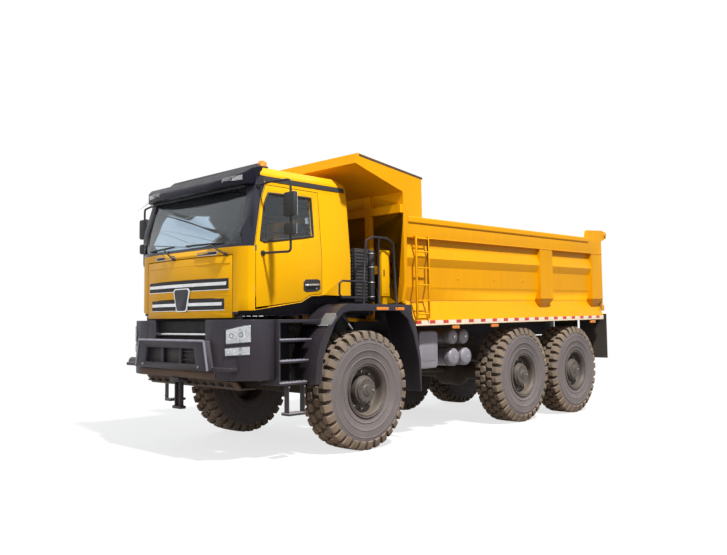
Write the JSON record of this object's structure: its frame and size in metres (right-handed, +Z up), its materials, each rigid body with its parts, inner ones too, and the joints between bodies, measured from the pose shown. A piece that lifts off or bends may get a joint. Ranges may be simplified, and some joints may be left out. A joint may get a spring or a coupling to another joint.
{
  "type": "mining dump truck",
  "caption": "Rigid mining dump truck with a front cab, a hollow tipping bed with a canopy and hinged tailgate, a telescopic hoist, opening doors and steered front wheels.",
  "frame": {"origin": "middle of the truck's bounding box, on the ground under its tyres", "axes": "+Z up, -Y to the truck's front, +X to the truck's left"},
  "size_m": [3.4, 8.3186, 3.7191],
  "materials": {
    "yellow_paint": "satin enamel with a light film of dust and worn edges",
    "charcoal_paint": "satin dark blue-grey enamel, dusty",
    "frame_paint": "dull dark grey chassis paint",
    "cast_iron": "rough dark casting, dusty",
    "tyre_rubber": "matt rubber, brown dust in the tread",
    "rim_paint": "satin dark grey wheel paint",
    "cab_glass": "clear bluish tinted safety glass",
    "black_plastic": "fine-grained black moulding",
    "seat_cloth": "dark grey woven seat cloth",
    "tank_grey": "pale grey satin paint",
    "hoist_chrome": "hard chromed cylinder stages with an oil film",
    "bright_metal": "brushed bright trim and bolts",
    "black_rubber": "soft black seals, wipers and flaps",
    "lamp_glass": "clear lamp lens",
    "mirror_glass": "silvered mirror",
    "amber_lens": "amber lamp lens",
    "red_lens": "red lamp lens",
    "reflective_tape": "red and cream reflecting tape"
  },
  "bodies": {
    "chassis": {"chassis_frame": "frame_paint", "hoist_mount": "frame_paint", "tow_beam": "frame_paint", "bed_pivot": "frame_paint", "engine_block": "cast_iron", "gearbox": "cast_iron", "front_axle": "cast_iron", "mid_axle": "cast_iron", "rear_axle": "cast_iron", "bogie_springs": "cast_iron", "bumper": "charcoal_paint", "tow_bracket": "frame_paint", "side_bar": "black_plastic", "steps_left": "charcoal_paint", "steps_right": "charcoal_paint", "fender_left": "charcoal_paint", "fender_right": "charcoal_paint", "cab_shell": "yellow_paint", "windscreen": "cab_glass", "rear_glass": "cab_glass", "roof_visor": "black_plastic", "dashboard": "black_plastic", "steering_wheel": "black_plastic", "seats": "seat_cloth", "air_cleaner": "black_plastic", "side_cabinet": "yellow_paint", "fuel_tank_left": "tank_grey", "fuel_tank_right": "tank_grey", "air_tanks": "tank_grey"},
    "bed": {"dump_body": "yellow_paint", "bed_ladder": "yellow_paint"},
    "tailgate": {"tailgate": "yellow_paint"},
    "hoist_tube": {"hoist_tube": "frame_paint"},
    "hoist_stage_1": {"hoist_stage_1": "hoist_chrome"},
    "hoist_stage_2": {"hoist_stage_2": "hoist_chrome"},
    "hoist_stage_3": {"hoist_stage_3": "hoist_chrome"},
    "door_left": {"door_left": "yellow_paint", "door_glass_left": "cab_glass", "mirror_left": "black_plastic"},
    "door_right": {"door_right": "yellow_paint", "door_glass_right": "cab_glass", "mirror_right": "black_plastic"},
    "grille_flap": {"grille_flap": "yellow_paint"},
    "knuckle_left": {"knuckle_left": "cast_iron"},
    "knuckle_right": {"knuckle_right": "cast_iron"},
    "wheel_front_left": {"tyre_front_left": "tyre_rubber", "rim_front_left": "rim_paint"},
    "wheel_front_right": {"tyre_front_right": "tyre_rubber", "rim_front_right": "rim_paint"},
    "wheel_mid_left": {"tyre_mid_left": "tyre_rubber", "rim_mid_left": "rim_paint"},
    "wheel_mid_right": {"tyre_mid_right": "tyre_rubber", "rim_mid_right": "rim_paint"},
    "wheel_rear_left": {"tyre_rear_left": "tyre_rubber", "rim_rear_left": "rim_paint"},
    "wheel_rear_right": {"tyre_rear_right": "tyre_rubber", "rim_rear_right": "rim_paint"}
  },
  "joints": [
    {"name": "bed_tip", "type": "hinge", "parent": "chassis", "child": "bed", "pos_m": [0, 3.76073, 1.19], "axis": [-1, 0, 0], "range_deg": [0, 50]},
    {"name": "tailgate_swing", "type": "hinge", "parent": "bed", "child": "tailgate", "pos_m": [0, 3.98852, 3.17471], "axis": [1, 0, 0], "range_deg": [0, 60]},
    {"name": "hoist_swing", "type": "hinge", "parent": "bed", "child": "hoist_tube", "pos_m": [0, -1.74927, 1.75], "axis": [1, 0, 0], "range_deg": [0, 22.8]},
    {"name": "hoist_slide_1", "type": "slide", "parent": "hoist_tube", "child": "hoist_stage_1", "axis": [0, 0, -1], "range_m": [0, 1.534]},
    {"name": "hoist_slide_2", "type": "slide", "parent": "hoist_stage_1", "child": "hoist_stage_2", "axis": [0, 0, -1], "range_m": [0, 1.534]},
    {"name": "hoist_slide_3", "type": "slide", "parent": "hoist_stage_2", "child": "hoist_stage_3", "axis": [0, 0, -1], "range_m": [0, 1.534]},
    {"name": "door_left_swing", "type": "hinge", "parent": "chassis", "child": "door_left", "pos_m": [1.197, -3.77226, 2.4], "axis": [0, 0, -1], "range_deg": [0, 70]},
    {"name": "door_right_swing", "type": "hinge", "parent": "chassis", "child": "door_right", "pos_m": [-1.197, -3.77226, 2.4], "axis": [0, 0, 1], "range_deg": [0, 70]},
    {"name": "flap_lift", "type": "hinge", "parent": "chassis", "child": "grille_flap", "pos_m": [0, -3.97327, 2.386], "axis": [-1, 0, 0], "range_deg": [0, 65]},
    {"name": "steer_left", "type": "hinge", "parent": "chassis", "child": "knuckle_left", "pos_m": [1.095, -2.19927, 0.7475], "axis": [0, 0, 1], "range_deg": [-32, 32]},
    {"name": "steer_right", "type": "hinge", "parent": "chassis", "child": "knuckle_right", "pos_m": [-1.095, -2.19927, 0.7475], "axis": [0, 0, 1], "range_deg": [-32, 32]},
    {"name": "wheel_front_left_spin", "type": "hinge", "parent": "knuckle_left", "child": "wheel_front_left", "pos_m": [1.215, -2.19927, 0.7475], "axis": [1, 0, 0], "continuous": true},
    {"name": "wheel_front_right_spin", "type": "hinge", "parent": "knuckle_right", "child": "wheel_front_right", "pos_m": [-1.215, -2.19927, 0.7475], "axis": [1, 0, 0], "continuous": true},
    {"name": "wheel_mid_left_spin", "type": "hinge", "parent": "chassis", "child": "wheel_mid_left", "pos_m": [1.215, 1.35074, 0.7475], "axis": [1, 0, 0], "continuous": true},
    {"name": "wheel_mid_right_spin", "type": "hinge", "parent": "chassis", "child": "wheel_mid_right", "pos_m": [-1.215, 1.35074, 0.7475], "axis": [1, 0, 0], "continuous": true},
    {"name": "wheel_rear_left_spin", "type": "hinge", "parent": "chassis", "child": "wheel_rear_left", "pos_m": [1.215, 3.00074, 0.7475], "axis": [1, 0, 0], "continuous": true},
    {"name": "wheel_rear_right_spin", "type": "hinge", "parent": "chassis", "child": "wheel_rear_right", "pos_m": [-1.215, 3.00074, 0.7475], "axis": [1, 0, 0], "continuous": true}
  ],
  "couplings": [
    {"joint": "hoist_swing", "follows": "bed_tip", "ratio": 0.45564},
    {"joint": "hoist_slide_1", "follows": "bed_tip", "m_per_rad": 1.7575},
    {"joint": "hoist_slide_2", "follows": "bed_tip", "m_per_rad": 1.7575},
    {"joint": "hoist_slide_3", "follows": "bed_tip", "m_per_rad": 1.7575},
    {"joint": "steer_right", "follows": "steer_left", "ratio": 1}
  ]
}
